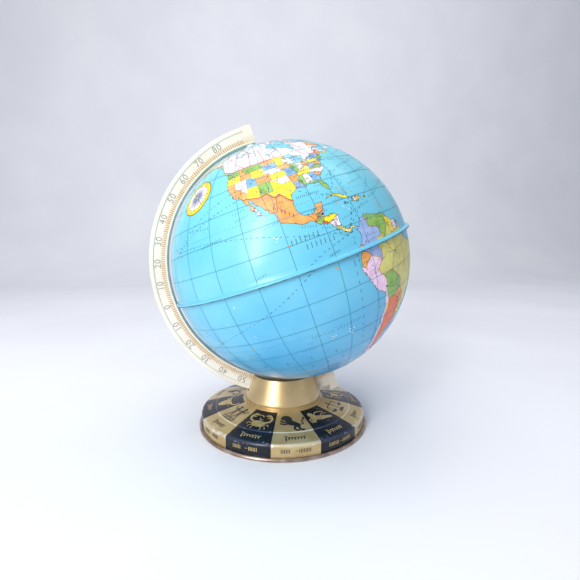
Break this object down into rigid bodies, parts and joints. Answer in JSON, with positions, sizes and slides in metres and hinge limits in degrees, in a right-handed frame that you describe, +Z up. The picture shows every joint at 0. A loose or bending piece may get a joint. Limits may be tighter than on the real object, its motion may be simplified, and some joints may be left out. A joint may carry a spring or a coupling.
{
  "type": "tin globe",
  "caption": "Small lithographed tin Earth globe that spins in a moulded half-ring arm on a gold conical pedestal and a round printed base with a rolled hem.",
  "frame": {"origin": "centre of the base's hem ring, on the surface it stands on", "axes": "+Z up, the north pole leans towards -X, the arm lies in the XZ plane and its scale is read from -Y"},
  "size_m": [0.1659, 0.1564, 0.194],
  "materials": {
    "map_print": "lithographed tinplate, satin gloss",
    "base_print": "lithographed tinplate in gold and black, satin gloss",
    "gold_lacquer": "satin gold lacquer",
    "ivory_plastic": "moulded, soft gloss",
    "steel": "plain",
    "brass": "plain",
    "white_plastic": "moulded"
  },
  "bodies": {
    "stand": {"zodiac_base": "base_print", "pedestal_cone": "gold_lacquer", "meridian_arm": "ivory_plastic", "north_pivot_pin": "steel", "south_pivot_pin": "steel", "north_spacer": "white_plastic", "south_spacer": "white_plastic", "foot_washer": "steel", "lock_washer": "steel", "foot_screw": "steel"},
    "globe": {"north_hemisphere": "map_print", "south_hemisphere": "map_print", "north_eyelet": "brass", "south_eyelet": "brass"}
  },
  "joints": [
    {"name": "globe_spin", "type": "hinge", "parent": "stand", "child": "globe", "pos_m": [0.0053, 0, 0.10805], "axis": [-0.3338, 0, 0.9426], "continuous": true}
  ]
}
